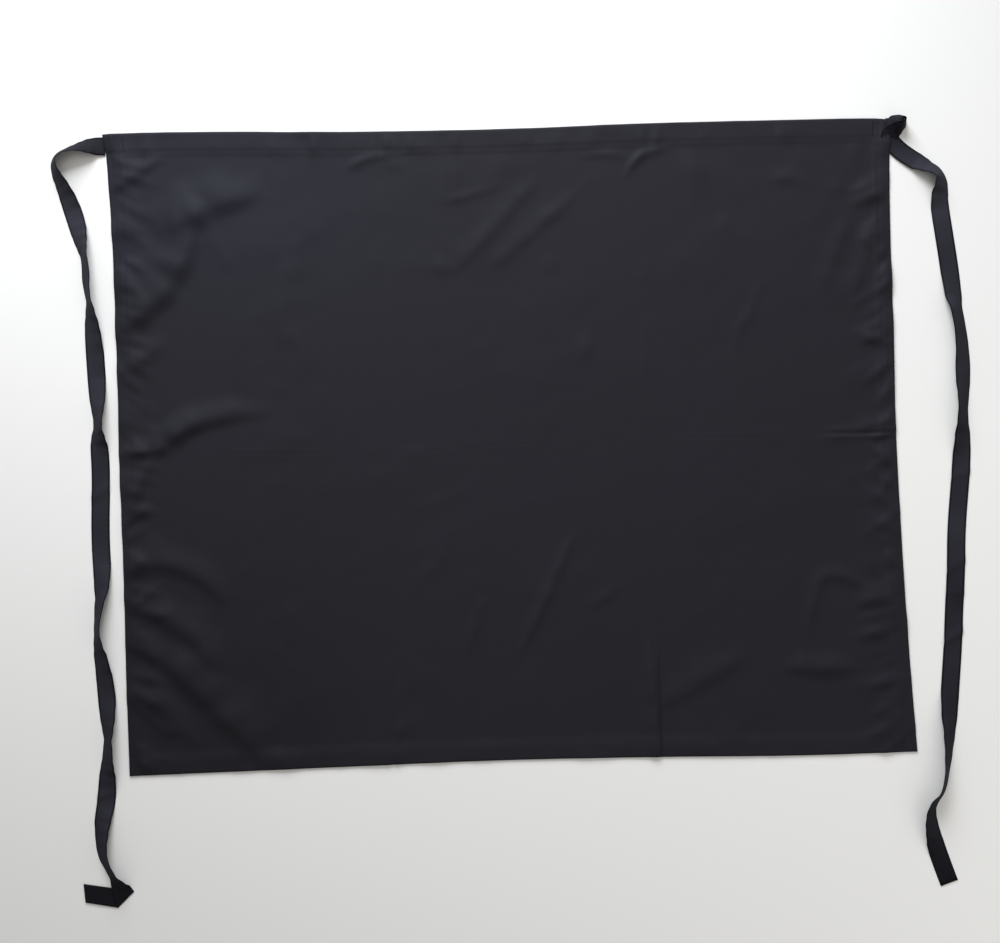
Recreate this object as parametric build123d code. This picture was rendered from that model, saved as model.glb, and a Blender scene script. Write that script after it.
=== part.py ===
from build123d import *
import math
import os

# A waist apron of thin cloth, laid flat and face up on a table, with its two tape ties beside it.
# Millimetres. +X runs along the waistband to the right, +Y from the bottom hem to the waistband,
# +Z up. The origin is on the table under the middle of the cloth.

# --- Driving dimensions ---------------------------------------------------------------------------
apron_width = 865.0       # finished width, side to side
apron_length = 698.0      # finished length, waistband to bottom hem
cloth_t = 0.5             # one layer of the cloth
waistband_margin = 1.0    # cloth beyond the tape, above and below it, in the waistband
bottom_hem_depth = 20.0   # turned-under depth of the bottom hem
side_hem_width = 15.0     # turned-under width of each side hem

tape_width = 20.0         # woven tape of the ties
tape_t = 0.5
tape_sewn_in = 25.0       # length of each tape caught inside the waistband
tape_pocket_gap = 0.2     # room above and below the tape in the waistband

crease_gap = 0.3          # slit between the two halves of the cloth at the crease
swivel_gap = 3.0          # room between the side of the cloth and a tie's round end

thread_w = 0.6            # seam thread as it lies on the face
thread_h = 0.2
seam_inset = 1.5          # from the inner edge of a hem to its seam
seam_end_gap = 0.4        # from the end of one seam to the side of the next
tack_inset = 2.0          # from a tape's edge to the end of its bar tack
tack_w = 1.6
tack_from_side = 5.0      # outer tack's distance from the side of the cloth
tack_pitch = 14.0         # from the outer tack to the inner one

# --- Worked out from them ---------------------------------------------------------------------------
half_width = apron_width / 2
half_length = apron_length / 2
hem_t = 2 * cloth_t                       # a hem is turned under twice
face_z = hem_t                            # underside of the face layer
top_z = face_z + cloth_t
waistband_depth = tape_width + 2 * waistband_margin
waistband_low_y = half_length - waistband_depth
bottom_hem_top_y = -half_length + bottom_hem_depth
tape_y = half_length - waistband_depth / 2
swivel_x = half_width + swivel_gap + tape_width / 2
tape_root_z = hem_t - tape_t              # the sewn-in tape takes the place of the inner turn
tack_length = tape_width - 2 * tack_inset

# Each tie's middle line as it lies, from its swivel to its end. These are offsets from the swivel,
# right and up along the table. "standing" names the points where the tape is turned on its edge.
left_route = [
    (0, 0), (-17, 0), (-41, -4), (-48, -20), (-38, -39), (-25, -74), (-14, -124), (-9, -198),
    (-7, -293), (-8, -383), (-10, -468), (-14, -533), (-8, -608), (-9, -683), (-18, -733),
    (-22, -763), (-15, -788), (-3, -802), (2.5, -812), (3.5, -822),
]
left_standing = (2, 3)
left_flap_length = 44.0                   # the free end, folded back flat on itself
left_flap_heading = 168.5                 # degrees, counterclockwise from +X
right_route = [
    (0, 0), (7, -16), (13, -35), (25, -48), (38, -60), (39, -82), (40, -123), (46, -173),
    (54, -238), (53, -308), (50, -383), (42, -468), (38, -528), (32, -593), (26, -678),
    (20, -723), (9, -742), (4, -758), (5, -778), (12, -806), (22, -833),
]
right_standing = (3, 4)


def block(x0, x1, y0, y1, z0, z1):
    """A box given by its lowest and highest corner."""
    size = (x1 - x0, y1 - y0, z1 - z0)
    return Pos(x0, y0, z0) * Box(*size, align=(Align.MIN, Align.MIN, Align.MIN))


def write(node, shape):
    export_step(shape, f"parts/{node}.step")


def turn_radii(points):
    """The largest radius each inner point's two runs allow, 0.45 of the shorter one each side."""
    radii = []
    for before, here, after in zip(points, points[1:], points[2:]):
        into = Vector(*here) - Vector(*before)
        out = Vector(*after) - Vector(*here)
        turn = math.radians(into.get_angle(out))
        radii.append(0.45 * min(into.length, out.length) / math.tan(turn / 2))
    return radii


def middle(a, b):
    return ((a[0] + b[0]) / 2, (a[1] + b[1]) / 2)


def tape_stretch(points, radii, width, height):
    """A plain strip along part of a route, its underside on the table."""
    path = FilletPolyline(*points, radius=radii) if radii else Line(*points)
    start = Plane(origin=path @ 0, x_dir=(0, 0, 1), z_dir=path % 0)
    section = start * Pos(height / 2, 0) * Rectangle(height, width)
    return sweep(section, path=path)


def tie(route, standing, side):
    """One free tie: flat tape with a round end at its swivel, on its edge at the standing points."""
    points = [(side * swivel_x + x, tape_y + y) for x, y in route]
    radii = turn_radii(points)
    first, last = standing
    up_start = middle(points[first - 1], points[first])
    up_end = middle(points[last], points[last + 1])
    lead = tape_stretch(points[:first] + [up_start], radii[:first - 1], tape_width, tape_t)
    turned = tape_stretch([up_start] + points[first:last + 1] + [up_end],
                          radii[first - 1:last], tape_t, tape_width)
    rest = tape_stretch([up_end] + points[last + 1:], radii[last:], tape_width, tape_t)
    round_end = Pos(*points[0]) * Cylinder(tape_width / 2, tape_t,
                                           align=(Align.CENTER, Align.CENTER, Align.MIN))
    solid = lead + turned + rest + round_end
    print("tie radii", [round(r) for r in radii], "volume", round(solid.volume))
    return solid, points


def flap(at, heading, length):
    """A tape's end folded back flat on top of it, from the point at."""
    strip = block(-tape_width / 4, length, -tape_width / 2, tape_width / 2, tape_t, 2 * tape_t)
    return Pos(*at) * Rot(0, 0, heading) * strip


def tie_root(side):
    """The sewn-in end of a tape, in the waistband's pocket, with its round end over the swivel."""
    low, high = tape_y - tape_width / 2, tape_y + tape_width / 2
    sewn = block(half_width - tape_sewn_in, half_width, low, high, tape_root_z, hem_t)
    lap = block(half_width, swivel_x, low, high, tape_t, hem_t)
    end = Pos(swivel_x, tape_y, tape_t) * Cylinder(
        tape_width / 2, hem_t - tape_t, align=(Align.CENTER, Align.CENTER, Align.MIN))
    root = sewn + lap + end
    return root if side > 0 else mirror(root, about=Plane.YZ)


def tie_tack(side):
    """The two bar tacks over one sewn-in tape."""
    bars = []
    for number in range(2):
        x = side * (half_width - tack_from_side - number * tack_pitch)
        bars.append(block(x - tack_w / 2, x + tack_w / 2, tape_y - tack_length / 2,
                          tape_y + tack_length / 2, top_z, top_z + thread_h))
    return Compound(children=bars)


def waistband_fold():
    """The top hem's two turned-under layers, open at each end for the sewn-in tape."""
    band = block(-half_width, half_width, waistband_low_y, half_length, 0, hem_t)
    low = tape_y - tape_width / 2 - tape_pocket_gap
    high = tape_y + tape_width / 2 + tape_pocket_gap
    x_in = half_width - tape_sewn_in - tape_pocket_gap
    band -= block(x_in, half_width, low, high, tape_root_z, hem_t)
    band -= block(-half_width, -x_in, low, high, tape_root_z, hem_t)
    return band


def side_hem(side, y0, y1):
    x0, x1 = sorted((side * half_width, side * (half_width - side_hem_width)))
    return block(x0, x1, y0, y1, 0, hem_t)


def side_seam(side, y0, y1):
    x = side * (half_width - side_hem_width + seam_inset)
    return block(x - thread_w / 2, x + thread_w / 2, y0, y1, top_z, top_z + thread_h)


def cross_seam(y):
    x = half_width - seam_inset
    return block(-x, x, y - thread_w / 2, y + thread_w / 2, top_z, top_z + thread_h)


os.makedirs("parts", exist_ok=True)

crease_top = crease_gap / 2
crease_bottom = -crease_gap / 2
write("upper_panel", block(-half_width, half_width, crease_top, half_length, face_z, top_z))
write("lower_panel", block(-half_width, half_width, -half_length, crease_bottom, face_z, top_z))
write("waistband_fold", waistband_fold())
write("bottom_hem", block(-half_width, half_width, -half_length, bottom_hem_top_y, 0, hem_t))

waist_seam_y = waistband_low_y + seam_inset
bottom_seam_y = bottom_hem_top_y - seam_inset
write("waistband_stitching", cross_seam(waist_seam_y))
write("bottom_hem_stitching", cross_seam(bottom_seam_y))

seam_end = thread_w / 2 + seam_end_gap
for name, side in (("left", -1), ("right", 1)):
    write(f"{name}_hem_upper", side_hem(side, crease_top, waistband_low_y))
    write(f"{name}_hem_lower", side_hem(side, bottom_hem_top_y, crease_bottom))
    write(f"{name}_stitching_upper", side_seam(side, crease_top, waist_seam_y - seam_end))
    write(f"{name}_stitching_lower", side_seam(side, bottom_seam_y + seam_end, crease_bottom))
    write(f"{name}_tie_root", tie_root(side))
    write(f"{name}_tie_tack", tie_tack(side))

left_solid, left_points = tie(left_route, left_standing, -1)
write("left_tie", left_solid + flap(left_points[-1], left_flap_heading, left_flap_length))
right_solid, right_points = tie(right_route, right_standing, 1)
write("right_tie", right_solid)
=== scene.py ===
# %% [markdown]
# # A cloth waist apron, laid out on a table
# The apron is one thin rectangle of dark twill. Its four edges are turned under and sewn, and a
# narrow woven tape comes out of each end of the waistband. Nothing in it is stiff, so nearly all of
# its look is in how the cloth creases and how the tapes twist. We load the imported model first,
# because its boxes say where every piece goes.

# %% Load the frame
import math
import random

import bmesh
import bpy
import numpy as np
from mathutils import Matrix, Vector


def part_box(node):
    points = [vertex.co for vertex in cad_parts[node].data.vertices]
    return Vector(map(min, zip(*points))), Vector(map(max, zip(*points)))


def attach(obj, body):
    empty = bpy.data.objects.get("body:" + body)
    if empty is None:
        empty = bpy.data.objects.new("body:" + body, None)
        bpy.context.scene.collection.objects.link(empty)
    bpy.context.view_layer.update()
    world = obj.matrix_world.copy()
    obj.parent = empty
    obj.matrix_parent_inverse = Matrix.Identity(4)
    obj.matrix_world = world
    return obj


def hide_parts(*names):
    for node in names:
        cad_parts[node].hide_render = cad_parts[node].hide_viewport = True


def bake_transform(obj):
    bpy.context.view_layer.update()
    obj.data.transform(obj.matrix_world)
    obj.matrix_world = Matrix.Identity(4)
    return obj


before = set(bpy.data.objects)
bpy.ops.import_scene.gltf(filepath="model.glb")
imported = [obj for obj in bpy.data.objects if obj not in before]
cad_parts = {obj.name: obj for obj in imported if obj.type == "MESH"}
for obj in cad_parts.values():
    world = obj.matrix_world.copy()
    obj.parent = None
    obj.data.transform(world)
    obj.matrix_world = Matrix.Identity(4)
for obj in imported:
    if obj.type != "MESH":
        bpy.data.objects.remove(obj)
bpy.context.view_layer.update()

# %% [markdown]
# The work below is in millimetres, as a sewing pattern is. Each mesh is scaled to metres once, when
# it is written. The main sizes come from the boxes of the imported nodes.

# %% Sizes read from the frame
MM = 0.001


def box_mm(node):
    low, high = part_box(node)
    return np.array(low) / MM, np.array(high) / MM


upper_low, upper_high = box_mm("upper_panel")
band_low, band_high = box_mm("waistband_fold")
hem_low, hem_high = box_mm("bottom_hem")
side_low, side_high = box_mm("left_hem_upper")
root_low, root_high = box_mm("right_tie_root")

HALF_W = float(upper_high[0])
HALF_L = float(upper_high[1])
WIDTH, LENGTH = 2 * HALF_W, 2 * HALF_L
CLOTH_T = float(upper_high[2] - upper_low[2])
BAND = float(band_high[1] - band_low[1])
BOTTOM_HEM = float(hem_high[1] - hem_low[1])
SIDE_HEM = float(side_high[0] - side_low[0])
TAPE_W = float(root_high[1] - root_low[1])
TAPE_T = float(root_high[2] - root_low[2])
TAPE_Y = float(root_high[1] + root_low[1]) / 2
print(f"cloth {WIDTH:.0f} x {LENGTH:.0f} mm, {CLOTH_T:.2f} thick, tape {TAPE_W:.0f} mm")

# %% [markdown]
# ## Camera
# The camera hangs straight above the table. It is turned a little about its own axis, so the apron
# lies slightly askew in the view. Its height follows from the width of table that it has to see.

# %% Camera
VIEW_WIDTH = 1.097
VIEW_CENTRE = (-0.0122, -0.0281)
VIEW_TURN = math.radians(-1.9)

camera_data = bpy.data.cameras.new("overhead")
camera_data.lens = 50
camera_data.sensor_width = 36
camera = bpy.data.objects.new("overhead", camera_data)
height = VIEW_WIDTH * camera_data.lens / camera_data.sensor_width
camera.location = (*VIEW_CENTRE, height)
camera.rotation_euler = (0, 0, VIEW_TURN)
bpy.context.scene.collection.objects.link(camera)
bpy.context.scene.camera = camera
print(f"camera {height:.2f} m above the table")

# %% [markdown]
# ## Writing shaders as sums
# A finish is easier to read as arithmetic than as a drawing of boxes. `Finish` makes a material and
# adds any node from its type, its settings and its sockets. `Wire` is one output socket: adding or
# multiplying wires adds the Math nodes for us.

# %% A material and its wires
class Wire:
    """One output socket. Sums of wires and numbers become Math nodes."""

    def __init__(self, finish, socket):
        self.finish = finish
        self.socket = socket

    def math(self, operation, *others):
        return self.finish.node("ShaderNodeMath", {"operation": operation}, [self, *others])

    def above(self, low=0.0):
        """The value, kept from falling under a limit."""
        return self.math("MAXIMUM", low)

    def within(self, low=0.0, high=1.0):
        """The value, kept between two limits."""
        return self.above(low).math("MINIMUM", high)

    def size(self):
        """The value without its sign."""
        return self.math("ABSOLUTE")

    def __add__(self, other):
        return self.math("ADD", other)

    def __sub__(self, other):
        return self.math("SUBTRACT", other)

    def __mul__(self, other):
        return self.math("MULTIPLY", other)

    def __rsub__(self, other):
        return self.finish.node("ShaderNodeMath", {"operation": "SUBTRACT"}, [other, self])

    __radd__ = __add__
    __rmul__ = __mul__


class Finish:
    """A material whose nodes are added one call at a time."""

    def __init__(self, name):
        self.material = bpy.data.materials.new(name)
        self.material.use_nodes = True
        self.tree = self.material.node_tree
        self.surface = self.tree.nodes["Principled BSDF"]

    def node(self, kind, settings=None, sockets=None, out=0):
        """Adds a node, sets it up, fills its sockets, and returns a wire from one output."""
        made = self.tree.nodes.new(kind)
        for name, value in (settings or {}).items():
            setattr(made, name, value)
        filled = enumerate(sockets) if isinstance(sockets, list) else (sockets or {}).items()
        for key, value in filled:
            self.fill(made.inputs[key], value)
        return Wire(self, made.outputs[out])

    def fill(self, socket, value):
        if isinstance(value, Wire):
            self.tree.links.new(value.socket, socket)
        else:
            socket.default_value = value

    def set(self, **values):
        """Fills the surface shader's sockets: base_color means Base Color."""
        for name, value in values.items():
            self.fill(self.surface.inputs[name.replace("_", " ").title()], value)


def grey(finish, low, high, amount):
    """A colour between two, by a wire from 0 to 1."""
    ends = {"Factor": amount, 6: low, 7: high}
    return finish.node("ShaderNodeMix", {"data_type": "RGBA"}, ends, out=2)


def noise(finish, place, scale, detail):
    """A soft, uneven value from 0 to 1."""
    return finish.node("ShaderNodeTexNoise", None, {"Vector": place, "Scale": scale, "Detail": detail})


def raised(finish, strength, distance, height):
    """A normal bent as if the surface stood up by a height."""
    settings = {"Strength": strength, "Distance": distance, "Height": height}
    return finish.node("ShaderNodeBump", None, settings)


# %% [markdown]
# ## The cloth's finish
# Twill shows fine diagonal lines about half a millimetre apart. From standing height they only
# soften the light, so they are a small bump. Three things make dark twill look like cloth and not
# plastic: a wide, weak sheen, colour that drifts a little where the dye has taken unevenly, and the
# odd slub, a thread thicker than its neighbours. The pattern runs in the cloth's own UV map, in
# metres, so it bends with the cloth.
#
# Three places carry painted light and shade. The cloth has painted shade towards its lower left corner,
# a painted bluish light near its upper left one, and a thin line of painted shade along a hard-pressed
# fold in its lower part. Each is a simple ramp of the distance from a place, and all of them are
# slight.

# %% Twill
def weave(finish, map_name):
    """The piece's own map in metres, split into its two directions."""
    place = finish.node("ShaderNodeUVMap", {"uv_map": map_name})
    split = finish.node("ShaderNodeSeparateXYZ", None, [place])
    along = Wire(finish, split.socket.node.outputs[0])
    across = Wire(finish, split.socket.node.outputs[1])
    return place, along, across


def woven_gloss(finish, specular, sheen):
    """Ends a woven finish with its gloss and a wide, cool sheen, and gives its material."""
    constants = {"Specular IOR Level": specular, "Sheen Weight": sheen, "Sheen Roughness": 0.45,
                 "Sheen Tint": (0.82, 0.88, 1.0, 1)}
    for name, value in constants.items():
        finish.surface.inputs[name].default_value = value
    print("finish:", finish.material.name)
    return finish.material


def twill_finish():
    finish = Finish("charcoal_twill")
    place, x, y = weave(finish, "weave")
    rib_pitch = 0.0011
    phase = (x + y * 1.6) * (2 * math.pi / rib_pitch)
    ribs = phase.math("SINE") * 0.5 + 0.5
    yarn = noise(finish, place, 900.0, 2.0)
    slubs = noise(finish, place, 60.0, 3.0)
    drift = noise(finish, place, 7.0, 3.0)
    # Painted shade: the colour darkens towards the cloth's lower left corner.
    painted_shade_corner_starts = (-0.1, 0.05)
    corner = (painted_shade_corner_starts[0] - x).above() * (painted_shade_corner_starts[1] - y).above()
    # Painted shade: a thin dark line along the hard-pressed fold, where its narrow groove lies in
    # shade.
    fold_x, fold_slant, fold_narrowness = 0.1654, 0.04, 520.0
    fold_top, fold_fade = -0.215, 12.0
    across_painted_fold = (1 - (x - y * fold_slant - fold_x).size() * fold_narrowness).above()
    painted_fold_shade = across_painted_fold * ((fold_top - y) * fold_fade).within()
    shade = ribs * 0.25 + yarn * 0.35 + drift * 0.4 - corner * 7.0 - painted_fold_shade * 1.5
    colour = grey(finish, (0.0074, 0.0070, 0.0102, 1), (0.0124, 0.0119, 0.0174, 1), shade)
    # Painted light: the colour turns bluer near the upper left, standing in for cool light falling
    # there.
    painted_cool_light_middle = (-0.33, 0.27)
    painted_cool_light_x = (1.3 - (x - painted_cool_light_middle[0]).size() * 4.5).within()
    painted_cool_light_y = (1.3 - (y - painted_cool_light_middle[1]).size() * 9.0).within()
    colour = grey(finish, colour, (0.0122, 0.0134, 0.0215, 1), painted_cool_light_y * painted_cool_light_x * 0.45)
    relief = ribs * 0.6 + yarn * 0.5 + slubs * 0.8
    bump = raised(finish, 0.18, 0.0004, relief)
    rough = drift * 0.12 + 0.62
    finish.set(base_color=colour, roughness=rough, normal=bump)
    return woven_gloss(finish, specular=0.17, sheen=0.05)


TWILL = twill_finish()

# %% [markdown]
# ## The tape's finish
# Apron tape is a narrow herringbone: its ribs lean one way on one half of the width and the other way
# on the other half. It has a slightly raised edge on each side, and its colour is darker along each
# edge. It is woven from the same yarn, so the colour is nearly the cloth's. Next to the waistband it
# carries painted shade, its colour grows a little darker along its length, and it is darker again over
# its last stretch.

# %% Herringbone tape
def tape_finish():
    finish = Finish("charcoal_tape")
    place, along, across = weave(finish, "weave")
    rib_pitch = 0.0012
    rib_lean = 1.4
    from_middle = across.size()
    phase = (along + from_middle * rib_lean) * (2 * math.pi / rib_pitch)
    ribs = phase.math("SINE") * 0.5 + 0.5
    width = TAPE_W * MM
    edge = from_middle.math("GREATER_THAN", width * 0.45)
    # The colour darkens along each edge.
    darker_edge = ((from_middle - width * 0.38) * (18 / width)).within()
    yarn = noise(finish, place, 900.0, 2.0)
    drift = noise(finish, place, 11.0, 2.0)
    # Painted shade: the colour darkens over the tape's first stretch, next to the waistband.
    painted_neck_shade_ends, darker_end_from = 0.092, 0.84
    painted_neck_shade = ((painted_neck_shade_ends - along) * 26.0).within()
    # The colour darkens over the tape's last stretch.
    darker_end = ((along - darker_end_from) * 18.0).within()
    woven = ribs * 0.2 + yarn * 0.2 + (drift - 0.5) * 1.2 + (0.4 - along) * 0.4 + 0.32
    shade = woven - darker_edge * 0.5 - darker_end * 0.3 - painted_neck_shade * 0.4
    colour = grey(finish, (0.0070, 0.0068, 0.0090, 1), (0.0350, 0.0343, 0.0452, 1), shade)
    relief = ribs * 0.7 + yarn * 0.4 + edge * 0.5
    bump = raised(finish, 0.25, 0.0004, relief)
    finish.set(base_color=colour, roughness=drift * 0.12 + 0.74, normal=bump)
    return woven_gloss(finish, specular=0.06, sheen=0.02)


TAPE = tape_finish()

# %% [markdown]
# ## The thread's finish
# Sewing thread is smoother than cloth and of nearly the same colour, with a fine twist round it.

# %% Sewing thread
def thread_finish():
    finish = Finish("charcoal_thread")
    place = finish.node("ShaderNodeTexCoord", None, None, out=3)
    ply = noise(finish, place, 2500.0, 1.0)
    colour = grey(finish, (0.008, 0.0077, 0.0108, 1), (0.0125, 0.012, 0.0168, 1), ply)
    bump = raised(finish, 0.3, 0.0001, ply)
    finish.set(base_color=colour, roughness=ply * 0.2 + 0.45, normal=bump)
    finish.surface.inputs["Specular IOR Level"].default_value = 0.2
    print("finish:", finish.material.name)
    return finish.material


THREAD = thread_finish()

# %% [markdown]
# ## Smooth steps and hand-drawn lines
# Every wrinkle below is a drawn line and a cross-section. These helpers turn a few points into a smooth
# line, and measure how far each point of the cloth is from it.

# %% Steps and lines
def smooth(value, start, end):
    """0 before start, 1 after end, and a smooth step between."""
    t = np.clip((value - start) / (end - start), 0, 1)
    return t * t * (3 - 2 * t)


def through(points, count=24):
    """A smooth line through a few points, as count points."""
    p = np.array(points, float)
    if len(p) == 2:
        t = np.linspace(0, 1, count)[:, None]
        return p[0] * (1 - t) + p[1] * t
    padded = np.vstack([2 * p[0] - p[1], p, 2 * p[-1] - p[-2]])
    spans = len(p) - 1
    at = np.linspace(0, spans, count)
    i = np.minimum(at.astype(int), spans - 1)
    t = (at - i)[:, None]
    a, b, c, d = padded[i], padded[i + 1], padded[i + 2], padded[i + 3]
    return 0.5 * (
        2 * b + (c - a) * t + (2 * a - 5 * b + 4 * c - d) * t**2 + (3 * b - a - 3 * c + d) * t**3
    )


def lengths(line):
    """How far along a line each of its points is."""
    return np.concatenate([[0], np.cumsum(np.linalg.norm(np.diff(line, axis=0), axis=1))])


def near_line(x, y, line, reach):
    """The points within reach of a line: which, how far to its side, and their share of its length."""
    low, high = line.min(0) - reach, line.max(0) + reach
    found = np.flatnonzero((x > low[0]) & (x < high[0]) & (y > low[1]) & (y < high[1]))
    px, py = x[found], y[found]
    best = np.full(len(found), 1e9)
    side = np.zeros(len(found))
    share = np.zeros(len(found))
    for k, (a, b) in enumerate(zip(line[:-1], line[1:])):
        d = b - a
        length = float(d @ d)
        t = np.clip(((px - a[0]) * d[0] + (py - a[1]) * d[1]) / length, 0, 1)
        ox, oy = px - a[0] - t * d[0], py - a[1] - t * d[1]
        away = np.hypot(ox, oy)
        closer = away < best
        best = np.where(closer, away, best)
        side = np.where(closer, np.sign(d[0] * oy - d[1] * ox) * away, side)
        share = np.where(closer, (k + t) / (len(line) - 1), share)
    return found, side, share


# %% [markdown]
# ## The outline of the cloth
# A cut rectangle never lies as one. The side hems draw in at the middle, and the top edge bows. We draw
# the four edges, then fill the inside by blending them, so the weave follows the edges.

# %% Four edges and the plan between them
TOP_EDGE = [(-435, 354.5), (-400, 356), (-296, 354), (-186, 350), (0, 347), (154, 348), (286, 347),
            (400, 345.5), (429, 343)]
BOTTOM_EDGE = [(-429, -348.5), (-198, -346), (-23, -344.5), (147, -346.5), (306, -350), (435, -350)]
LEFT_EDGE = [(-429, -348.5), (-429, -230), (-428, -111), (-429, 9), (-428, 64), (-428.5, 229),
             (-432, 328), (-435, 354.5)]
RIGHT_EDGE = [(435, -350), (429.5, -239), (426, -140), (423, 3), (424, 113), (424, 211),
              (425.5, 294), (429, 343)]


def edge_line(points):
    """An edge as a function of the share along it."""
    line = through(points, 240)
    run = lengths(line) / lengths(line)[-1]

    def at(share):
        return np.stack([np.interp(share, run, line[:, k]) for k in range(2)], axis=-1)

    return at


top_at, bottom_at = edge_line(TOP_EDGE), edge_line(BOTTOM_EDGE)
left_at, right_at = edge_line(LEFT_EDGE), edge_line(RIGHT_EDGE)
CORNERS = [np.array(p, float) for p in (BOTTOM_EDGE[0], BOTTOM_EDGE[-1], TOP_EDGE[0], TOP_EDGE[-1])]


def plan(u, v):
    """Where a point of the cloth lies on the table: u runs left to right, v bottom to top."""
    u, v = u[:, None], v[:, None]
    sides = left_at(v[:, 0]) * (1 - u) + right_at(v[:, 0]) * u
    ends = bottom_at(u[:, 0]) * (1 - v) + top_at(u[:, 0]) * v
    bl, br, tl, tr = CORNERS
    corners = (bl * (1 - u) + br * u) * (1 - v) + (tl * (1 - u) + tr * u) * v
    return sides + ends - corners


# %% [markdown]
# ## The wrinkles
# Cloth that was folded in a packet keeps its creases: one across the middle and a few from top to
# bottom. Over those lie soft ridges, where the cloth was drawn together as it was laid down, and
# short slanting puckers along the sewn hems, where the thread is a little tighter than the cloth.
# A ridge is a drawn crest with its own height and a width on each side. A steep side turned away from
# the window is the darker one.

# %% Ridges, creases and bumps
# Each ridge: height, width on its left side, width on its right side, and the crest's points. Left
# and right are as seen when walking along the points.
RIDGES = [
    (5.2, 14, 8, [(-476, 7), (-430, 6), (-396, 8), (-378, 15), (-361, 27), (-339, 35), (-300, 43),
                  (-256, 47)]),
    (2.4, 15, 8, [(-384, 18), (-340, 40), (-290, 53)]),
    (6.6, 23, 10, [(-446, 128), (-400, 158), (-366, 192), (-346, 232), (-330, 282)]),
    (6.2, 24, 13, [(-385, 251), (-350, 261), (-315, 275), (-258, 291)]),
    (2.4, 7, 5, [(-428, 292), (-398, 312), (-368, 330)]),
    (2.2, 12, 7, [(-436, 94), (-404, 106), (-368, 134)]),
    (3.2, 9, 6, [(-434, -92), (-412, -40), (-394, 2)]),
    (3.6, 14, 7, [(-440, -140), (-398, -116), (-350, -130), (-312, -166)]),
    (4.4, 16, 8, [(-436, -150), (-390, -172), (-352, -200), (-322, -240)]),
    (6.0, 22, 10, [(-440, -196), (-396, -214), (-350, -256), (-305, -304), (-268, -350)]),
    (5.0, 13, 11, [(-444, -264), (-412, -262), (-384, -280), (-350, -324)]),
    (1.8, 10, 6, [(-60, 188), (-5, 246), (48, 298)]),
    (1.9, 9, 6, [(-22, 190), (41, 241), (104, 294)]),
    (2.4, 4, 4, [(134, 285), (144, 304), (158, 315), (188, 321)]),
    (1.4, 3.5, 4, [(84, 314), (122, 316), (136, 310)]),
    (1.8, 4, 4, [(-173, 304), (-157, 316), (-138, 321), (-105, 322)]),
    (1.3, 4, 4, [(-66, 268), (-35, 276), (2, 287)]),
    (1.0, 4, 5, [(288, 182), (268, 140), (250, 102), (257, 56)]),
    (2.3, 4, 5, [(-8, -248), (33, -167), (71, -88)]),
    (1.9, 4, 6, [(-56, -232), (-46, -195), (-33, -162)]),
    (1.2, 5, 5, [(76, -184), (100, -168), (124, -150)]),
    (2.6, 15, 8, [(146, -296), (200, -264), (254, -234)]),
    (4.2, 11, 8, [(286, -253), (330, -254), (378, -257)]),
    (2.6, 7, 5, [(311, -256), (331, -170), (350, -153), (408, -178)]),
    (3.2, 2.3, 9, [(149, -215), (150, -300), (152, -420)]),
    (1.6, 8, 9, [(-252, 112), (-242, 170), (-228, 240)]),
    (0.9, 6, 6, [(-250, -208), (-243, -160)]),
    (1.5, 8, 8, [(343, 150), (365, 205), (384, 256)]),
    (1.2, 8, 7, [(372, 130), (390, 180), (404, 235)]),
    (0.9, 6, 6, [(-300, 200), (-318, 240), (-325, 262)]),
    (0.7, 7, 7, [(-120, -70), (-60, -50), (-30, -28)]),
    (0.8, 8, 6, [(-112, -150), (-80, -120), (-66, -70)]),
    (1.2, 9, 7, [(205, 318), (212, 290), (208, 262)]),
    (1.2, 8, 6, [(295, 280), (315, 284), (338, 276)]),
    (0.8, 6, 5, [(-140, -326), (-128, -306), (-112, -290)]),
]

# Each crease of the old folding: height, width, and its points. The cloth springs up beside a
# crease by that height. A crease with a negative height was folded the other way, so it stands up
# itself.
CREASES = [
    (0.3, 1.5, [(-429, 3), (-297, 1), (-132, -4), (-22, 1), (90, 2)]),
    (0.3, 1.5, [(60, 2), (154, 3), (285, 0), (424, 0)]),
    (1.7, 2.2, [(330, 3), (385, 1), (440, 1)]),
    (0.5, 1.6, [(157, 320), (155, 180), (152, 0), (149, -218)]),
    (1.2, 2.4, [(149, -160), (150, -270), (151, -375)]),
    (-0.55, 2.2, [(-128, -20), (-130, -120), (-132, -215)]),
    (1.7, 3.0, [(-138, -235), (-140, -300), (-140, -365)]),
    (0.8, 2.6, [(-212, 320), (-218, 200), (-226, 60)]),
    (-0.5, 3.0, [(-140, 225), (-139, 180), (-139, 125)]),
    (1.6, 2.6, [(-57, 342), (-56, 300), (-58, 262)]),
]

# Each bump: height, radius along X, radius along Y, and its middle.
BUMPS = [
    (1.2, 12, 9, (-71, 199)), (1.1, 11, 9, (50, 198)), (1.2, 9, 11, (243, 234)),
    (1.7, 8, 12, (86, 103)), (1.0, 10, 7, (311, 283)), (0.9, 9, 7, (365, 270)),
    (1.0, 9, 9, (-236, 128)), (2.2, 12, 9, (386, -184)), (1.1, 9, 7, (375, -275)),
    (1.2, 16, 8, (-116, 312)), (0.8, 18, 22, (205, 296)), (1.0, 14, 9, (375, -70)),
]

# The right tie passes under this corner of the cloth and props it up.
TIED_CORNER = (424, 318)
TIED_LIFT = 2.6

# The waistband is pinched in a few places, mostly where the old folds cross it: a dent, and a small
# swell to its right.
PINCHES = [(-213, 337), (-132, 336), (-105, 334), (-57, 334), (164, 333), (-395, 338), (300, 333)]
PINCH_DEPTH = 1.7
SWELL_HEIGHT = 1.6
SWELL_RIGHT = 7


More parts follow.
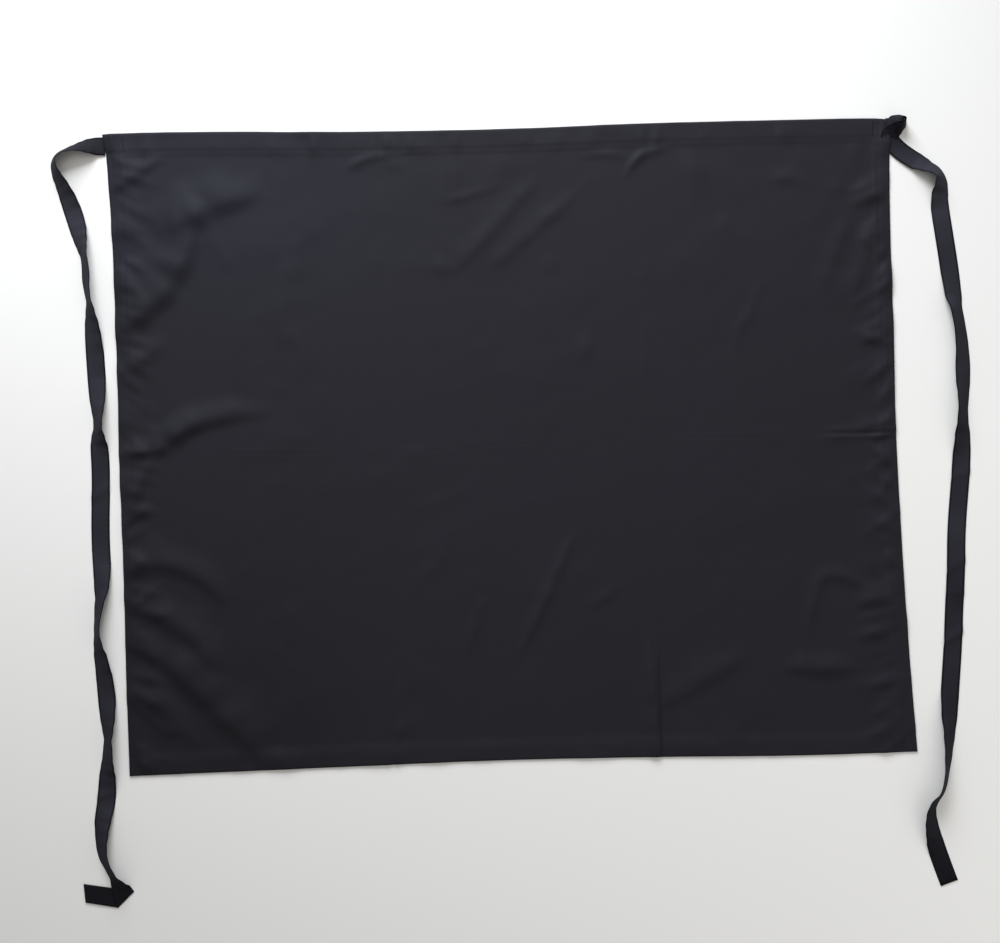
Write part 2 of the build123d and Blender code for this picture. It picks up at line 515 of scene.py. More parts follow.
def ridge_height(x, y, height, left, right, points):
    """The height that one ridge adds. Its crest wanders a little, and both its ends fade out."""
    line = through(points)
    found, side, share = near_line(x, y, line, 3.2 * max(left, right))
    along = share * np.hypot(*(line[-1] - line[0]))
    start = line[0].sum()
    side = side + 0.07 * min(left, right) * np.sin(along / 7.0 + start)
    swell = 1 + 0.1 * np.sin(along / 5.3 + 2 * start) + 0.12 * np.sin(along / 11.0 + start)
    width = np.where(side > 0, left, right) * (0.75 + 0.5 * np.sin(math.pi * share))
    fade = np.sin(math.pi * np.clip(share, 0, 1)) ** 0.8
    added = np.zeros(len(x))
    added[found] = height * np.exp(-((side / width) ** 2)) * fade * swell
    return added


def crease_height(x, y, height, width, points):
    """A folded line: the cloth springs up on both sides of it and stays down along it."""
    line = through(points)
    found, side, share = near_line(x, y, line, 10 * width)
    fade = smooth(share, 0, 0.3) * (1 - smooth(share, 0.8, 1))
    sprung = np.exp(-((side / (3.6 * width)) ** 2)) * (1 - np.exp(-((side / width) ** 2)))
    upright = np.exp(-((side / width) ** 2))
    added = np.zeros(len(x))
    added[found] = fade * (height * sprung if height > 0 else -height * upright)
    return added


def mound(x, y, middle, radius_x, radius_y):
    """A soft bump of height 1."""
    from_x, from_y = x - middle[0], y - middle[1]
    return np.exp(-((from_x / radius_x) ** 2) - (from_y / radius_y) ** 2)


def waves(x, y, seed, count, shortest, longest):
    """Soft, seeded undulation with a typical height of 1."""
    draw = random.Random(seed)
    total = np.zeros(len(x))
    for _ in range(count):
        turn = draw.uniform(0, math.pi)
        size = 2 * math.pi / draw.uniform(shortest, longest)
        shift = draw.uniform(0, 2 * math.pi)
        total += np.sin((x * math.cos(turn) + y * math.sin(turn)) * size + shift)
    return total / math.sqrt(count / 2)


# %% [markdown]
# The puckers along a hem are too many to draw one by one, and they follow a rule: one every 10 to
# 25 mm or so, running in from the seam, slanting at the sides. A seeded loop draws them.

# %% Puckers along the hems
def side_puckers(side, seed, low_y, high_y, pitch, strongest):
    """Short slanting ridges from a side hem inwards. side is -1 at the left and 1 at the right."""
    draw = random.Random(seed)
    made = []
    y = low_y
    while y < high_y:
        outer = HALF_W - 7 + draw.uniform(-2, 2)
        inward = draw.uniform(18, 56)
        drop = draw.uniform(6, 26) * (1 if draw.random() < 0.85 else -1)
        height = strongest * draw.uniform(0.35, 1.0)
        start = (side * outer, y + drop * 0.3)
        end = (side * (outer - inward), y - drop)
        made.append((height, draw.uniform(4, 7), draw.uniform(3, 5), [start, end]))
        y += pitch * draw.uniform(0.7, 1.4)
    return made


def cross_puckers(base_y, inward, seed, pitch, strongest):
    """Short upright ridges along the waistband or the bottom hem. inward is up or down, in mm."""
    draw = random.Random(seed)
    made = []
    x = -HALF_W + 20
    while x < HALF_W - 20:
        lean = draw.uniform(-5, 5)
        reach = inward * draw.uniform(0.5, 1.4)
        height = strongest * draw.uniform(0.2, 1.0)
        made.append((height, draw.uniform(3, 4.5), draw.uniform(3, 4.5),
                     [(x, base_y), (x + lean, base_y + reach)]))
        x += pitch * draw.uniform(0.6, 1.7)
    return made


PUCKERS = (
    side_puckers(1, 11, -335, 310, 11, 2.3)
    + side_puckers(-1, 12, -335, 335, 14, 2.1)
    + cross_puckers(-HALF_L + 2, 30, 13, 17, 1.2)
    + cross_puckers(HALF_L - 3, -30, 14, 26, 0.9)
)
print(len(RIDGES), "ridges,", len(CREASES), "creases,", len(PUCKERS), "puckers")

# %% [markdown]
# ## The height of the cloth
# All of it adds up to one height for each point of the cloth. Inside the hems the cloth lies on the
# table, so a smooth floor stops any groove from going through it. On a hem the face lies on the two
# layers turned under it, and each seam pulls a shallow channel along its line. The folded edge
# turns down a little.

# %% Height of the face
LIE = 0.15
FLOOR_SOFTNESS = 0.5
SEAM_INSET = 1.5
SEAM_WIDTH = 1.2
SEAM_DEPTH = 0.7
RIM_DROP = 0.35


def face_height(x, y, u, v):
    """Height of the face above the table, for points (x, y) that are (u, v) of the cloth."""
    left, right = u * WIDTH, (1 - u) * WIDTH
    low, high = v * LENGTH, (1 - v) * LENGTH
    total = 0.4 * waves(x, y, seed=5, count=14, shortest=70, longest=260)
    total += 0.1 * waves(x, y, seed=6, count=16, shortest=22, longest=60)
    border = np.exp(-np.minimum(left, right) / 45) + 0.5 * np.exp(-np.minimum(low, high) / 30)
    total += border * 0.75 * waves(x, y, seed=7, count=18, shortest=26, longest=80)
    total += TIED_LIFT * mound(x, y, TIED_CORNER, 16, 13)
    for height, one, other, points in RIDGES + PUCKERS:
        total += ridge_height(x, y, height, one, other, points)
    for height, width, points in CREASES:
        total += crease_height(x, y, height, width, points)
    for height, radius_x, radius_y, middle in BUMPS:
        total += height * mound(x, y, middle, radius_x, radius_y)
    for at_x, at_y in PINCHES:
        total -= PINCH_DEPTH * mound(x, y, (at_x, at_y), 3.5, 9)
        total += SWELL_HEIGHT * mound(x, y, (at_x + SWELL_RIGHT, at_y), 5, 11)
    total = 0.5 * (total + np.sqrt(total**2 + FLOOR_SOFTNESS**2))
    hem = np.zeros(len(x))
    seam = np.zeros(len(x))
    edges = (left, SIDE_HEM, 6), (right, SIDE_HEM, 6), (low, BOTTOM_HEM, 4), (high, BAND, 5)
    for distance, depth, slope in edges:
        hem = np.maximum(hem, 1 - smooth(distance, depth - 1, depth + slope))
        from_seam = distance - depth + SEAM_INSET
        seam = np.maximum(seam, np.exp(-((from_seam / SEAM_WIDTH) ** 2)))
    rim = 1 - smooth(np.minimum.reduce([left, right, low, high]), 0, 1.6)
    return LIE + CLOTH_T + total + hem * 2 * CLOTH_T - SEAM_DEPTH * seam * hem - RIM_DROP * rim


# %% [markdown]
# ## The cloth itself
# The mesh starts as a plain grid. Its lines are closer together at the hems and at the creases, where
# the shape changes fastest, and further apart in the open middle. The points are then laid out by the
# plan and the height. Solidify gives the cloth its real thickness, downwards, so the face stays where
# it was drawn. This is moulded and not simulated, because the creases of a particular apron are memory
# in the cloth, which a simulation starts without.

# %% Meshes and objects
def mesh_from(bm, name):
    mesh = bpy.data.meshes.new(name)
    bm.to_mesh(mesh)
    bm.free()
    return mesh


def put_in(name, mesh, material):
    """A mesh as an object of the scene, at the origin."""
    mesh.materials.append(material)
    made = bpy.data.objects.new(name, mesh)
    bpy.context.scene.collection.objects.link(made)
    return made


# %% Grid helpers
def spaced(count, length, spots):
    """count + 1 shares from 0 to 1, closer together near each spot: place, half width, density."""
    fine = np.linspace(0, 1, 4000)
    density = np.ones(len(fine))
    for place, half, extra in spots:
        density += extra * np.exp(-(((fine - place) * length / half) ** 2))
    run = np.concatenate([[0], np.cumsum((density[1:] + density[:-1]) / 2)])
    return np.interp(np.linspace(0, 1, count + 1), run / run[-1], fine)


def grid_object(name, columns, rows, place, thickness, material, weave_at, offset=-1):
    """A grid with one vertex per column and row share, put where place(u, v) says, in mm.

    The thickness goes down from the grid with an offset of -1, and both ways with 0.
    """
    bm = bmesh.new()
    bmesh.ops.create_grid(bm, x_segments=len(columns) - 1, y_segments=len(rows) - 1, size=0.5)
    mesh = mesh_from(bm, name)
    flat = np.zeros(len(mesh.vertices) * 3, np.float32)
    mesh.vertices.foreach_get("co", flat)
    step = flat.reshape(-1, 3)[:, :2] + 0.5
    u = columns[np.rint(step[:, 0] * (len(columns) - 1)).astype(int)]
    v = rows[np.rint(step[:, 1] * (len(rows) - 1)).astype(int)]
    points = place(u, v)
    mesh.vertices.foreach_set("co", (points * MM).astype(np.float32).ravel())
    uv = weave_at(u, v).astype(np.float32)
    corner = np.zeros(len(mesh.loops), np.int32)
    mesh.loops.foreach_get("vertex_index", corner)
    layer = mesh.uv_layers.new(name="weave")
    layer.data.foreach_set("uv", uv[corner].ravel())
    mesh.polygons.foreach_set("use_smooth", np.ones(len(mesh.polygons), bool))
    made = put_in(name, mesh, material)
    solid = made.modifiers.new("thickness", "SOLIDIFY")
    solid.thickness = thickness * MM
    solid.offset = offset
    mesh.update()
    print(f"{name}: {len(mesh.polygons)} faces")
    return made


# %% The face of the apron
def face_point(u, v):
    flat = plan(u, v)
    return np.column_stack([flat, face_height(flat[:, 0], flat[:, 1], u, v)])


def cloth_weave(u, v):
    return np.column_stack([(u - 0.5) * WIDTH, (v - 0.5) * LENGTH]) * MM


def share_x(x):
    return (x + HALF_W) / WIDTH


def share_y(y):
    return (y + HALF_L) / LENGTH


columns = spaced(232, WIDTH, [(0, 24, 1.4), (1, 24, 1.4), (share_x(151), 9, 1.2),
                              (share_x(-131), 8, 1.0), (share_x(-140), 8, 1.0)])
rows = spaced(196, LENGTH, [(0, 22, 1.3), (1, 26, 1.3), (share_y(1), 9, 1.2)])
apron_cloth = grid_object("apron_cloth", columns, rows, face_point, CLOTH_T, TWILL, cloth_weave)

# %% [markdown]
# ## The turned-under hems
# Under the face, each hem is a flat strip of two layers, drawn as one solid. Its outer edge is the
# fold, so it is rounded. Each strip is cut from the same plan as the face and lies just under it, so
# the two never part. The side hems cross the middle crease, so they follow its shape with the cloth.

# %% Hem strips
HEM_GAP = 0.03
PRESSED_FLAT = 0.8
HEM_T = 2 * CLOTH_T * PRESSED_FLAT
FOLD_ROUNDING = 0.35


def hem_strip(name, u_from, u_to, v_from, v_to, count_u, count_v):
    """A strip under the face, between shares of the cloth."""

    def place(s, t):
        u = u_from + (u_to - u_from) * s
        v = v_from + (v_to - v_from) * t
        top = face_point(u, v)
        top[:, 2] = np.maximum(top[:, 2] - CLOTH_T - HEM_GAP, HEM_T)
        return top

    def strip_weave(s, t):
        return cloth_weave(u_from + (u_to - u_from) * s, v_from + (v_to - v_from) * t)

    across, along = np.linspace(0, 1, count_u + 1), np.linspace(0, 1, count_v + 1)
    made = grid_object(name, across, along, place, HEM_T, TWILL, strip_weave)
    edge = made.modifiers.new("fold", "BEVEL")
    edge.width = FOLD_ROUNDING * MM
    edge.segments = 2
    edge.limit_method = "ANGLE"
    return made


inset_u, inset_v = 0.5 / WIDTH, 0.5 / LENGTH
side_u, band_v, hem_v = SIDE_HEM / WIDTH, BAND / LENGTH, BOTTOM_HEM / LENGTH
HEM_SPANS = {
    "waistband_hem": (inset_u, 1 - inset_u, 1 - band_v, 1 - inset_v, 280, 8),
    "bottom_hem_fold": (inset_u, 1 - inset_u, inset_v, hem_v, 280, 8),
    "left_hem_fold": (inset_u, side_u, hem_v, 1 - band_v, 6, 230),
    "right_hem_fold": (1 - side_u, 1 - inset_u, hem_v, 1 - band_v, 6, 230),
}
hems = {name: hem_strip(name, *span) for name, span in HEM_SPANS.items()}

# %% [markdown]
# ## The stitching
# A lockstitch seam is a row of short thread lengths, each rising from one hole and dropping into
# the next. One stitch is a small six-sided spindle. It is copied along the seam, seated in the
# channel that the seam pulls in the cloth.

# %% Stitches along a seam
STITCH_PITCH = 2.9
STITCH_LENGTH = 2.3
STRAIGHT_PART = 0.55
TAPERED_PART = 0.22
THREAD_R = 0.24


def one_stitch():
    """A stitch along Z, in mm: a short rod whose two ends taper down to the holes."""
    bm = bmesh.new()
    bmesh.ops.create_cone(bm, segments=6, radius1=THREAD_R, radius2=THREAD_R,
                          depth=STITCH_LENGTH * STRAIGHT_PART, cap_ends=True)
    caps = [face for face in bm.faces if len(face.verts) == 6]
    bmesh.ops.inset_individual(bm, faces=caps, thickness=THREAD_R * 0.45)
    for face in caps:
        up = math.copysign(STITCH_LENGTH * TAPERED_PART, face.calc_center_median().z)
        bmesh.ops.translate(bm, verts=face.verts, vec=(0, 0, up))
    return mesh_from(bm, "one_stitch")


def stitch_row(name, line, height_at):
    """Stitches along a line in the plan, in mm."""
    run = lengths(line)
    count = int(run[-1] / STITCH_PITCH)
    bm = bmesh.new()
    for number in range(count):
        middle = (number + 0.5) * run[-1] / count
        at = [np.interp(middle, run, line[:, k]) for k in range(2)]
        ahead = [np.interp(middle + 1, run, line[:, k]) - at[k] for k in range(2)]
        turned = Vector((ahead[0], ahead[1], 0)).to_track_quat("Z", "Y").to_matrix().to_4x4()
        turned.translation = (at[0], at[1], float(height_at(middle / run[-1])))
        stitch = STITCH.copy()
        stitch.transform(turned)
        bm.from_mesh(stitch)
        bpy.data.meshes.remove(stitch)
    bmesh.ops.scale(bm, verts=bm.verts, vec=(MM, MM, MM))
    mesh = mesh_from(bm, name)
    mesh.polygons.foreach_set("use_smooth", np.ones(len(mesh.polygons), bool))
    print(f"{name}: {count} stitches")
    return put_in(name, mesh, THREAD)


STITCH = one_stitch()


def seam(name, u_line, v_line):
    """A seam that follows shares u and v of the cloth."""
    flat = plan(u_line, v_line)
    z = face_height(flat[:, 0], flat[:, 1], u_line, v_line)
    share = np.linspace(0, 1, len(z))
    return stitch_row(name, flat, lambda s: np.interp(s, share, z))


SEAM_STEPS = 900
along = np.linspace(0.002, 0.998, SEAM_STEPS)
level = np.zeros(SEAM_STEPS)
band_seam_v = 1 - (BAND - SEAM_INSET) / LENGTH
hem_seam_v = (BOTTOM_HEM - SEAM_INSET) / LENGTH
side_seam_u = (SIDE_HEM - SEAM_INSET) / WIDTH
between = np.linspace(hem_seam_v, band_seam_v, SEAM_STEPS)
SEAM_LINES = {
    "waistband_seam": (along, level + band_seam_v),
    "bottom_seam": (along, level + hem_seam_v),
    "left_seam": (level + side_seam_u, between),
    "right_seam": (level + 1 - side_seam_u, between),
}
seams = {name: seam(name, *lines) for name, lines in SEAM_LINES.items()}

# %% [markdown]
# ## The ties
# A tape is the simplest ribbon: a line down its middle, and at each point of the line a direction
# for its width. Flat on the table the width is level. Where the tape turns on its edge the width
# stands up, the tape looks narrow from above, and its middle is half a width off the table. So a
# tie is described by its route and by its lean at a few distances along it.
#
# The route is a smooth NURBS line. Its control points are the places that the tape passes, listed one
# by one. Each point is right, up and off the table, in metres.

# %% Routes of the two ties
LEFT_ROUTE = [
    (-0.433, 0.3425, 0.001), (-0.447, 0.343, 0.003), (-0.460, 0.342, 0.008), (-0.473, 0.339, 0.010),
    (-0.484, 0.334, 0.010), (-0.489, 0.326, 0.010), (-0.487, 0.314, 0.008), (-0.482, 0.304, 0.006),
    (-0.477, 0.292, 0.004), (-0.472, 0.277, 0.002), (-0.466, 0.256, 0.001), (-0.461, 0.236, 0.004),
    (-0.457, 0.214, 0.009), (-0.457, 0.190, 0.009), (-0.454, 0.170, 0.009), (-0.4525, 0.135, 0.003),
    (-0.451, 0.090, 0.0004), (-0.449, 0.044, 0.008), (-0.4505, 0.018, 0.006), (-0.4495, -0.020, 0.0004),
    (-0.453, -0.085, 0.0004), (-0.451, -0.140, 0.003), (-0.4565, -0.170, 0.009),
    (-0.4585, -0.195, 0.009), (-0.4525, -0.235, 0.005), (-0.450, -0.285, 0.003),
    (-0.4495, -0.312, 0.009), (-0.453, -0.350, 0.004),
    (-0.4555, -0.376, 0.0004), (-0.4597, -0.3955, 0.002), (-0.4605, -0.408, 0.0045),
    (-0.4612, -0.422, 0.0072), (-0.4596, -0.435, 0.0085), (-0.4546, -0.4464, 0.0085),
    (-0.4491, -0.4571, 0.0075), (-0.4441, -0.4679, 0.004), (-0.4385, -0.4835, 0.0005),
]
RIGHT_ROUTE = [
    (0.424, 0.334, 0.0012), (0.430, 0.338, 0.003), (0.4335, 0.3432, 0.0075), (0.4374, 0.3458, 0.0098),
    (0.4414, 0.3442, 0.0098), (0.4436, 0.3396, 0.0098), (0.4412, 0.3352, 0.0085),
    (0.4365, 0.3325, 0.0070), (0.4305, 0.3292, 0.005), (0.4245, 0.3245, 0.003),
    (0.4345, 0.3115, 0.002), (0.4485, 0.3005, 0.003), (0.466, 0.290, 0.007), (0.4785, 0.283, 0.010),
    (0.4810, 0.270, 0.009), (0.4785, 0.256, 0.006), (0.4805, 0.236, 0.002), (0.484, 0.209, 0.0015),
    (0.488, 0.176, 0.001), (0.491, 0.140, 0.002), (0.4955, 0.115, 0.008), (0.498, 0.085, 0.006),
    (0.497, 0.045, 0.005), (0.495, 0.014, 0.009), (0.495, -0.015, 0.005), (0.4925, -0.050, 0.0006),
    (0.486, -0.105, 0.0005), (0.484, -0.155, 0.0008), (0.4805, -0.195, 0.001), (0.478, -0.235, 0.0008),
    (0.472, -0.295, 0.0004), (0.4685, -0.340, 0.006), (0.465, -0.372, 0.009), (0.460, -0.395, 0.0095),
    (0.449, -0.406, 0.0095), (0.4455, -0.419, 0.008), (0.448, -0.440, 0.006), (0.455, -0.465, 0.002),
    (0.4655, -0.4955, 0.0005),
]

# %% [markdown]
# The leans are in degrees at distances in millimetres along each tie. A lean lifts the edge of the
# tape that is nearer to the apron, so from above the tape looks narrow well before it is upright.

# %% Leans of the two ties
LEFT_LEANS = [
    (0, 2), (8, 6), (18, 28), (27, 47), (36, 60), (46, 66), (57, 63), (70, 57), (80, 48), (93, 33),
    (107, 16), (120, 5), (128, 5), (140, 12), (151, 28), (162, 44), (171, 56), (195, 51), (210, 58),
    (220, 61), (235, 45), (247, 28), (262, 14), (282, 0), (306, 0), (317, 8), (328, 17),
    (340, 34), (352, 48), (362, 48), (372, 29), (383, 6), (394, 0), (510, 0), (520, 9),
    (533, 21), (553, 47), (575, 58), (587, 58), (602, 46), (613, 31), (625, 25), (636, 13),
    (660, 5), (680, 23), (692, 39), (705, 52), (715, 46), (725, 42), (735, 31), (747, 13),
    (762, 0), (775, 0), (794, 15), (807, 30), (821, 41), (834, 47), (846, 53), (858, 52), (870, 28),
    (880, 8), (886, 2),
]
RIGHT_LEANS = [
    (0, 4), (7, 25), (13, 48), (20, 72), (27, 76), (34, 70), (40, 52), (46, 28), (54, 8), (70, 3),
    (92, 6), (102, 26), (112, 44), (122, 48), (134, 34), (146, 14), (162, 0), (226, 0), (254, 12),
    (272, 36), (290, 37), (312, 32), (337, 23), (352, 26), (366, 37), (381, 43), (396, 38),
    (412, 20), (436, 3), (450, 0), (690, 0), (716, 15), (738, 37), (760, 50), (783, 60),
    (808, 61), (821, 52), (832, 43), (843, 33), (855, 23), (866, 8), (880, 0),
]


# The tapes came out of the packet with folds pressed into them: distance along, slant and height,
# in mm. Before a fold the tape rises slowly, and behind it it drops again at once.
LEFT_FOLDS = [(436, 0.65, 1.6), (770, 0.5, 1.1)]
RIGHT_FOLDS = [(456, 0.4, 1.1), (556, 0.6, 1.1), (586, 0.0, 0.7), (634, 0.7, 1.5)]
RISES_OVER, DROPS_OVER = 7.0, 2.6


def spline_points(name, route, detail=12):
    """The points of the smooth line that a route controls, in mm."""
    curve = bpy.data.curves.new(name, "CURVE")
    curve.dimensions = "3D"
    curve.resolution_u = detail
    spline = curve.splines.new("NURBS")
    spline.points.add(len(route) - 1)
    for point, place in zip(spline.points, route):
        point.co = (*place, 1)
    spline.order_u = 3
    spline.use_endpoint_u = True
    carrier = bpy.data.objects.new(name, curve)
    mesh = bpy.data.meshes.new_from_object(carrier)
    line = np.array([v.co for v in mesh.vertices], float) / MM
    bpy.data.meshes.remove(mesh)
    bpy.data.objects.remove(carrier)
    bpy.data.curves.remove(curve)
    return line


left_line = spline_points("left_tie_line", LEFT_ROUTE)
right_line = spline_points("right_tie_line", RIGHT_ROUTE)
print(f"ties: left {lengths(left_line)[-1]:.0f} mm, right {lengths(right_line)[-1]:.0f} mm")

# %% [markdown]
# The lean and the height have to agree, or a tape would sink into the table. So the height of the
# tape's middle is worked out from its lean: half a width times the sine. The route's own heights
# only count in the distances along the tie.

# %% Frames along a tie
def tie_frames(line, leans, sign):
    """For each point of the line: its place, and half of the tape's width as a vector, in mm."""
    run = lengths(line)
    knots = np.array([a for a, _ in leans], float)
    values = np.array([b for _, b in leans], float)
    i = np.clip(np.searchsorted(knots, run, side="right") - 1, 0, len(knots) - 2)
    t = smooth(run, knots[i], knots[i + 1])
    lean = np.radians(values[i] * (1 - t) + values[i + 1] * t)
    ahead = np.gradient(line[:, :2], axis=0)
    ahead /= np.linalg.norm(ahead, axis=1)[:, None]
    level = np.column_stack([-ahead[:, 1], ahead[:, 0], np.zeros(len(line))])
    half = TAPE_W / 2
    width = half * (np.cos(lean)[:, None] * level + sign * np.sin(lean)[:, None] * [[0, 0, 1]])
    middle = line.copy()
    middle[:, 2] = half * np.abs(np.sin(lean)) + TAPE_T / 2
    return middle, width, run


def pressed(along, across, creases):
    """How far the old folds pressed into a tape still lift it, in mm."""
    lift = np.zeros(len(along))
    for distance, slant, height in creases:
        past = along - distance + slant * across
        spread = np.where(past < 0, RISES_OVER, DROPS_OVER)
        lift += height * np.exp(-((past / spread) ** 2))
    return lift


TAPE_COLUMNS = 11


def ribbon(name, middle, width, run, creases):
    """A tape from its middle line, its half widths, and the folds pressed into it."""
    rows_at = run / run[-1]
    columns_at = np.linspace(0, 1, TAPE_COLUMNS)

    def place(u, v):
        share = u * 2 - 1
        at = np.column_stack([np.interp(v, rows_at, middle[:, k]) for k in range(3)])
        out = np.column_stack([np.interp(v, rows_at, width[:, k]) for k in range(3)])
        at[:, 2] += pressed(v * run[-1], share * TAPE_W / 2, creases)
        return at + out * share[:, None]

    def tape_weave(u, v):
        return np.column_stack([v * run[-1], (u - 0.5) * TAPE_W]) * MM

    return grid_object(name, columns_at, rows_at, place, TAPE_T, TAPE, tape_weave, offset=0)


# %% [markdown]
# The end of the left tie is folded back on itself. Over its last stretch the tape turns until its
# edge lies along the fold, and from there a short flap lies flat on top of it.

# %% Left tie, with its end folded back
left_middle, left_width, left_run = tie_frames(left_line, LEFT_LEANS, 1)
TURNS_OVER_LAST = 22
FOLD_LEFT = np.array([-447.5, -492.0, 0.0])
FOLD_RIGHT = np.array([-429.0, -474.5, 0.0])
FLAP_TOP = np.array([-483.5, -465.0, 0.0])
FLAP_LOW = np.array([-482.0, -485.5, 0.0])
skew = smooth(left_run, left_run[-1] - TURNS_OVER_LAST, left_run[-1])[:, None]
fold_half = (FOLD_RIGHT - FOLD_LEFT) / 2
fold_middle = (FOLD_LEFT + FOLD_RIGHT) / 2
left_width = left_width * (1 - skew) + fold_half * skew
left_middle[-1] = fold_middle + [0, 0, TAPE_T / 2]
turn = np.array([fold_middle + [0.5, -0.5, TAPE_T]])
flap_at = np.linspace(0.02, 1, 12)[:, None]
flap_middle = (1 - flap_at) * fold_middle + flap_at * (FLAP_TOP + FLAP_LOW) / 2
flap_middle[:, 2] = TAPE_T * 1.6
flap_half = (1 - flap_at) * fold_half + flap_at * (FLAP_TOP - FLAP_LOW) / 2
left_middle = np.vstack([left_middle, turn, flap_middle])
left_width = np.vstack([left_width, fold_half[None], flap_half])
left_run = lengths(left_middle)
left_tie = ribbon("left_tie_tape", left_middle, left_width, left_run, LEFT_FOLDS)

# %% Right tie
right_middle, right_width, right_run = tie_frames(right_line, RIGHT_LEANS, -1)
right_tie = ribbon("right_tie_tape", right_middle, right_width, right_run, RIGHT_FOLDS)

# %% [markdown]
# ## Sewn-in ends and bar tacks
# Inside the waistband each tape runs on for a short way between the layers. Two bar tacks, short
# rows of dense zigzag stitches, lock it there.

# %% Tape roots and tacks
ROOT_STARTS = 25
ROOT_ENDS = 4
TACK_INSETS = [6.0, 20.0]
TACK_STITCHES = 17
TACK_PITCH = 0.95
TACK_WIDTH = 1.9
TACK_FROM_TOP = 3.5
TACK_STANDS_UP = 0.1
TACK_SLANT = 0.25


def tape_root(name, side):
    """The sewn-in end of a tape, level, between the waistband's layers."""
    end_x = side * (HALF_W - ROOT_ENDS)
    start_x = side * (HALF_W - ROOT_STARTS)

    def place(u, v):
        x = start_x + (end_x - start_x) * v
        y = TAPE_Y + (u - 0.5) * TAPE_W * 0.98
        u, v = share_x(x), share_y(y)
        top = face_point(u, v)
        top[:, 2] -= 1.8 * CLOTH_T
        return top

    def root_weave(u, v):
        return np.column_stack([v * ROOT_STARTS, (u - 0.5) * TAPE_W]) * MM

    across, along = np.linspace(0, 1, 7), np.linspace(0, 1, 9)
    return grid_object(name, across, along, place, TAPE_T * 0.6, TAPE, root_weave, offset=0)


def bar_tack(name, side):
    """Two upright rows of close stitches over a sewn-in tape."""
    number = np.tile(np.arange(TACK_STITCHES), len(TACK_INSETS))
    inward = np.repeat(TACK_INSETS, TACK_STITCHES) / WIDTH
    u = inward if side < 0 else 1 - inward
    v = 1 - (TACK_FROM_TOP + number * TACK_PITCH) / LENGTH
    flat = plan(u, v)
    z = face_height(flat[:, 0], flat[:, 1], u, v) + TACK_STANDS_UP
    bm = bmesh.new()
    for at, height, count in zip(flat, z, number):
        made = bmesh.ops.create_cone(bm, segments=6, radius1=THREAD_R, radius2=THREAD_R,
                                     depth=TACK_WIDTH, cap_ends=True)
        slant = Vector((1, TACK_SLANT if count % 2 else -TACK_SLANT, 0)).to_track_quat("Z", "Y")
        bmesh.ops.rotate(bm, verts=made["verts"], matrix=slant.to_matrix())
        bmesh.ops.translate(bm, verts=made["verts"], vec=(at[0], at[1], height))
    bmesh.ops.scale(bm, verts=bm.verts, vec=(MM, MM, MM))
    return put_in(name, mesh_from(bm, name), THREAD)


roots = {side: tape_root(f"{name}_tape_root", side) for name, side in (("left", -1), ("right", 1))}
tacks = {side: bar_tack(f"{name}_bar_tack", side) for name, side in (("left", -1), ("right", 1))}
print("roots and tacks:", len(roots) + len(tacks))

# %% [markdown]
# ## What moves with what
# The pieces that cross the middle crease, and the two ties, have their places baked into their meshes.
# The waistband's hem and seam, the tape roots and the tacks are attached to the upper body, and the
# bottom hem and its seam to the lower one.

# %% Bodies and their pieces
crossing = [apron_cloth, hems["left_hem_fold"], hems["right_hem_fold"], seams["left_seam"],
            seams["right_seam"]]
for piece in crossing:
    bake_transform(piece)
for piece in (hems["waistband_hem"], seams["waistband_seam"], *roots.values(), *tacks.values()):
    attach(piece, "upper")
for piece in (hems["bottom_hem_fold"], seams["bottom_seam"]):
    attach(piece, "lower")
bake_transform(left_tie)
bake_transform(right_tie)

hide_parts("upper_panel", "lower_panel")
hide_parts("waistband_fold")
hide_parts("bottom_hem")
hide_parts("left_hem_upper", "left_hem_lower")
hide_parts("right_hem_upper", "right_hem_lower")
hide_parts("waistband_stitching")
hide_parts("bottom_hem_stitching")
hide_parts("left_stitching_upper", "left_stitching_lower")
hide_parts("right_stitching_upper", "right_stitching_lower")
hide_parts("left_tie")
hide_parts("right_tie")
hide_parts("left_tie_root")
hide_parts("right_tie_root")
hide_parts("left_tie_tack")
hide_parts("right_tie_tack")

for piece, middle, run in ((left_tie, left_middle, left_run), (right_tie, right_middle, right_run)):
    tuple(middle[0] * MM)
    [tuple(p * MM) for p in middle]

# %% [markdown]
# ## Table and light
# The apron lies on a smooth white board. A large soft window light comes in low from beyond the
# waistband, so each wrinkle is bright on its far side and dark on its near side. A wide ceiling
# light, a weak light from the near right and an even, slightly warm background fill the rest.
#
# The board's colour carries painted light and shade, which change a little from place to place. It is
# made of two wires, right and up on the table. Both are held within a little more than the apron's
# reach, so the painted light stops there.

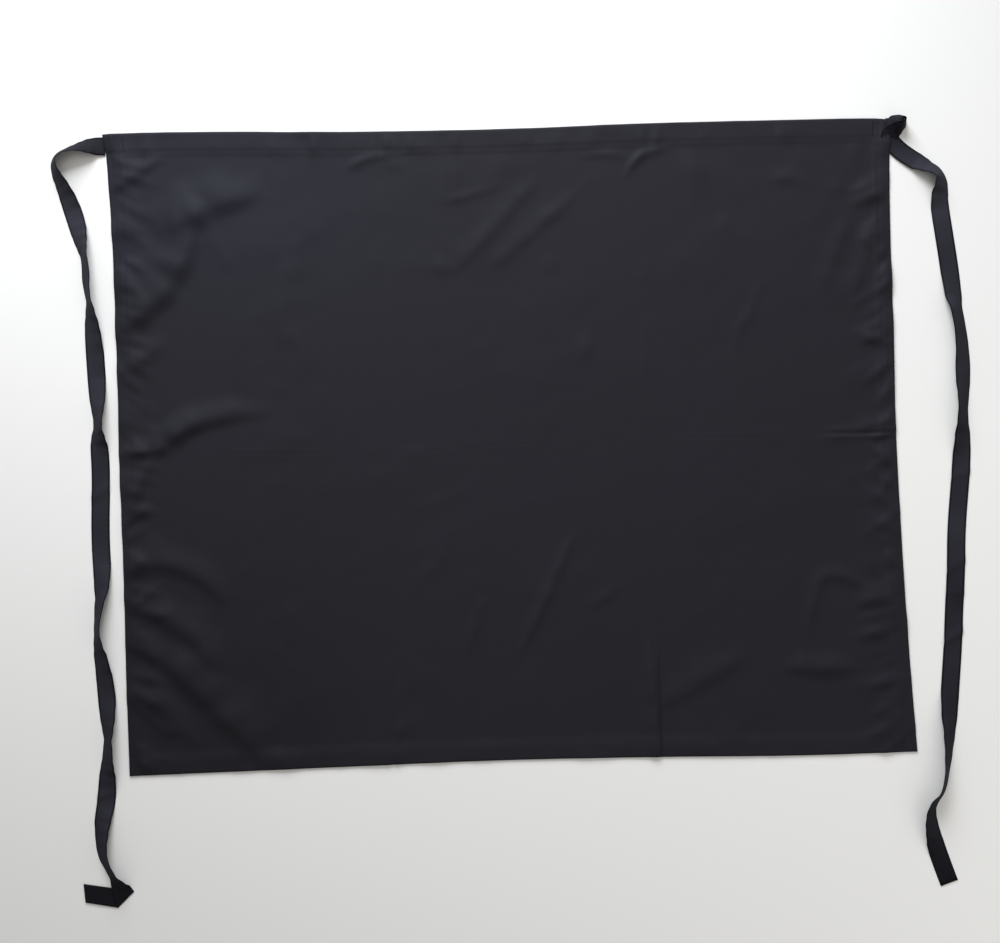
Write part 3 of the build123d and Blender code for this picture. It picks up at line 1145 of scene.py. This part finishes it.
# %% Table
def table_finish():
    """White board, with painted shade at the near left and far right and painted light at the near
    right.
    """
    finish = Finish("white_board")
    place = finish.node("ShaderNodeTexCoord", None, None, out=3)
    x = finish.node("ShaderNodeSeparateXYZ", None, {"Vector": place}, out=0)
    y = finish.node("ShaderNodeSeparateXYZ", None, {"Vector": place}, out=1)
    painted_light_ends = 0.6
    x = x.within(-painted_light_ends, painted_light_ends)
    y = y.within(-painted_light_ends, painted_light_ends)
    # Painted light and shade: the board's colour stands in for uneven light across the table.
    shade = x * 0.06 - x * y * 0.16 - x.above() * y.above() * 0.38 + 0.79
    finish.set(base_color=grey(finish, (0, 0, 0, 1), (1.0, 0.98, 0.952, 1), shade), roughness=0.35)
    return finish.material


TABLE_HALF = 12
TABLE_DROP = 0.0003
bm = bmesh.new()
bmesh.ops.create_grid(bm, x_segments=1, y_segments=1, size=TABLE_HALF)
bmesh.ops.translate(bm, verts=bm.verts, vec=(0, 0, -TABLE_DROP))
table = put_in("table", mesh_from(bm, "table"), table_finish())

# %% Lights
def soft_light(name, place, target, size, power, colour):
    """A square soft light at place that faces target."""
    data = bpy.data.lights.new(name, "AREA")
    data.size = size
    data.energy = power
    data.color = colour
    made = bpy.data.objects.new(name, data)
    made.location = place
    made.rotation_euler = (Vector(target) - Vector(place)).to_track_quat("-Z", "Y").to_euler()
    bpy.context.scene.collection.objects.link(made)


soft_light("window", (-0.3, 1.7, 0.95), (0, 0.15, 0), 1.1, 60, (0.92, 0.97, 1.03))
soft_light("room", (1.2, -0.9, 0.8), (0.35, -0.35, 0), 1.0, 2.2, (1.0, 0.99, 0.97))
soft_light("ceiling", (0.0, 0.9, 2.6), (0, 0.2, 0), 1.6, 10, (1.0, 0.985, 0.96))
world = bpy.data.worlds.new("room")
world.use_nodes = True
world.node_tree.nodes["Background"].inputs["Color"].default_value = (1.0, 0.99, 0.965, 1)
world.node_tree.nodes["Background"].inputs["Strength"].default_value = 0.375
bpy.context.scene.world = world
bpy.context.scene.view_settings.view_transform = "Standard"
print("table and lights are in")
